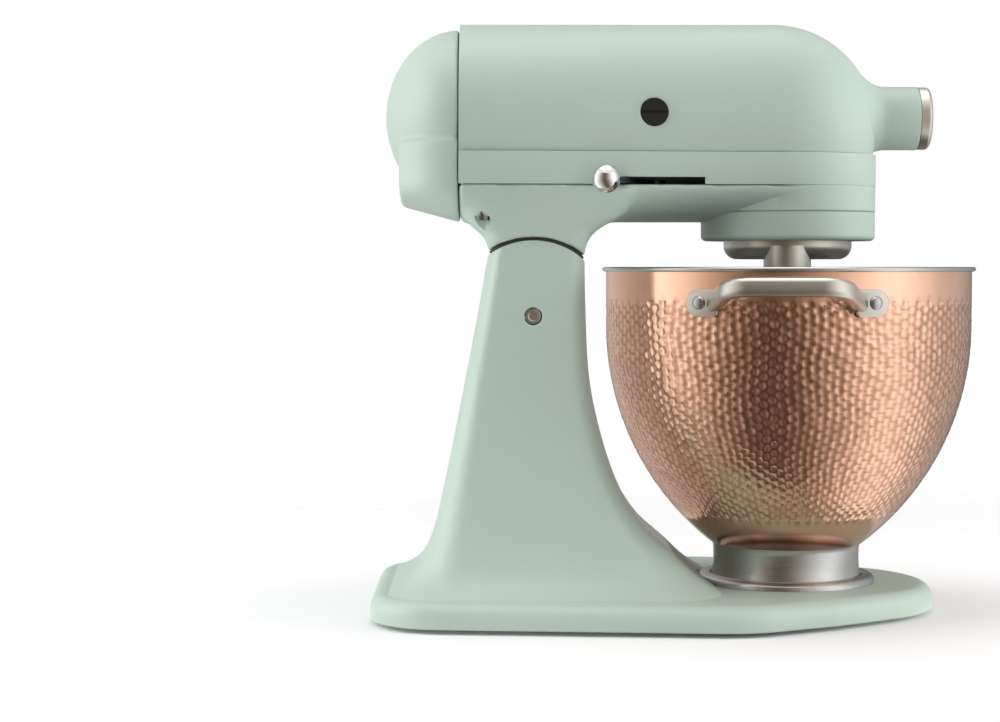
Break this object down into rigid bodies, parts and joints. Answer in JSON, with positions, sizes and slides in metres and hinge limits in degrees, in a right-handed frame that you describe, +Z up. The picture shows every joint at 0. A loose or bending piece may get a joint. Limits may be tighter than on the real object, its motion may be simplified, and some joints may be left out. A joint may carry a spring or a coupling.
{
  "type": "tilt-head stand mixer",
  "caption": "Tilt-head kitchen stand mixer with a cast pale green body, a hammered copper bowl with a side handle, and a planetary beater drive under a long rounded motor head.",
  "frame": {"origin": "on the table top, on the bowl's upright axis, at the underside of the foot below the bowl", "axes": "+Z up, +X along the head towards the power hub, +Y to the side away from the bowl's handle"},
  "size_m": [0.3619, 0.2564, 0.353],
  "materials": {
    "body_paint": "matte pale green enamel over cast metal",
    "band_metal": "satin pale green band",
    "rubber": "soft dark rubber",
    "plate_steel": "brushed",
    "copper": "hammered polished copper",
    "nickel": "satin nickel",
    "bright_steel": "bright chrome",
    "black_plastic": "matte",
    "gear_steel": "ground steel",
    "bronze": "machined bronze",
    "cast_alloy": "cast",
    "motor_iron": "laminated",
    "winding": "enamelled wire"
  },
  "bodies": {
    "stand": {"base_casting": "body_paint", "rubber_feet": "rubber", "column": "body_paint", "bowl_clamp_plate": "plate_steel", "clamp_plate_screws": "bright_steel", "hinge_pin": "bright_steel"},
    "bowl": {"bowl_shell": "copper", "bowl_foot": "plate_steel", "bowl_handle": "nickel", "handle_rivets": "bright_steel"},
    "head": {"motor_housing": "body_paint", "trim_band": "band_metal", "gear_case": "body_paint", "rear_cover": "body_paint", "rear_cover_screw": "bright_steel", "cord_inlet": "black_plastic", "planetary_collar": "body_paint", "ring_gear": "gear_steel", "gear_bracket": "cast_alloy", "shaft_bushes": "bronze", "stator_core": "motor_iron", "field_coils": "winding", "motor_bearings": "gear_steel", "rear_bearing_bracket": "cast_alloy", "control_plate": "black_plastic", "speed_board": "black_plastic", "brush_holders": "black_plastic", "carbon_brushes": "motor_iron", "brush_caps": "black_plastic", "case_screws": "bright_steel"},
    "planetary": {"planetary_disc": "nickel", "centre_shaft": "gear_steel", "planetary_pin": "gear_steel", "centre_gear": "gear_steel", "centre_bevel": "gear_steel"},
    "agitator": {"beater_shaft": "nickel", "beater_cross_pin": "bright_steel", "planet_pinion": "gear_steel"},
    "hub_drive": {"hub_shaft": "gear_steel", "hub_bevel": "gear_steel"},
    "worm_drive": {"worm_wheel": "bronze", "drive_pinion": "gear_steel", "worm_wheel_shaft": "gear_steel"},
    "armature": {"armature_shaft": "gear_steel", "armature_core": "motor_iron", "commutator": "winding", "cooling_fan": "cast_alloy"},
    "cap": {"hub_cap": "bright_steel"},
    "knob": {"hub_knob": "bright_steel"},
    "speed_control": {"speed_lever": "bright_steel", "speed_knob": "bright_steel"},
    "lock_control": {"lock_lever": "bright_steel", "lock_knob": "bright_steel"}
  },
  "joints": [
    {"name": "bowl_twist", "type": "hinge", "parent": "stand", "child": "bowl", "pos_m": [0, 0, 0.02], "axis": [0, 0, 1], "range_deg": [0, 45]},
    {"name": "head_tilt", "type": "hinge", "parent": "stand", "child": "head", "pos_m": [-0.1546, 0, 0.179], "axis": [0, -1, 0], "range_deg": [0, 40]},
    {"name": "planetary_spin", "type": "hinge", "parent": "head", "child": "planetary", "pos_m": [0, 0, 0.24], "axis": [0, 0, 1], "continuous": true},
    {"name": "beater_spin", "type": "hinge", "parent": "planetary", "child": "agitator", "pos_m": [-0.00352, -0.02677, 0.2], "axis": [0, 0, 1], "continuous": true},
    {"name": "worm_wheel_spin", "type": "hinge", "parent": "head", "child": "worm_drive", "pos_m": [-0.03724, 0.027, 0.27], "axis": [0, 0, 1], "continuous": true},
    {"name": "armature_spin", "type": "hinge", "parent": "head", "child": "armature", "pos_m": [-0.1, 0, 0.297], "axis": [1, 0, 0], "continuous": true},
    {"name": "hub_spin", "type": "hinge", "parent": "head", "child": "hub_drive", "pos_m": [0.03, 0, 0.297], "axis": [1, 0, 0], "continuous": true},
    {"name": "speed_swing", "type": "hinge", "parent": "head", "child": "speed_control", "pos_m": [-0.082, -0.015, 0.2576], "axis": [0, 0, 1], "range_deg": [0, 49]},
    {"name": "lock_swing", "type": "hinge", "parent": "head", "child": "lock_control", "pos_m": [-0.16, 0.03, 0.2576], "axis": [0, 0, -1], "range_deg": [0, 24]},
    {"name": "knob_turn", "type": "hinge", "parent": "head", "child": "knob", "pos_m": [0.064, 0.03, 0.297], "axis": [0, 1, 0], "continuous": true},
    {"name": "cap_pull", "type": "slide", "parent": "head", "child": "cap", "axis": [1, 0, 0], "range_m": [0, 0.12]}
  ],
  "couplings": [
    {"joint": "beater_spin", "follows": "planetary_spin", "ratio": -3.5},
    {"joint": "worm_wheel_spin", "follows": "planetary_spin", "ratio": -2.8333},
    {"joint": "armature_spin", "follows": "planetary_spin", "ratio": 51},
    {"joint": "hub_spin", "follows": "planetary_spin", "ratio": 1}
  ]
}
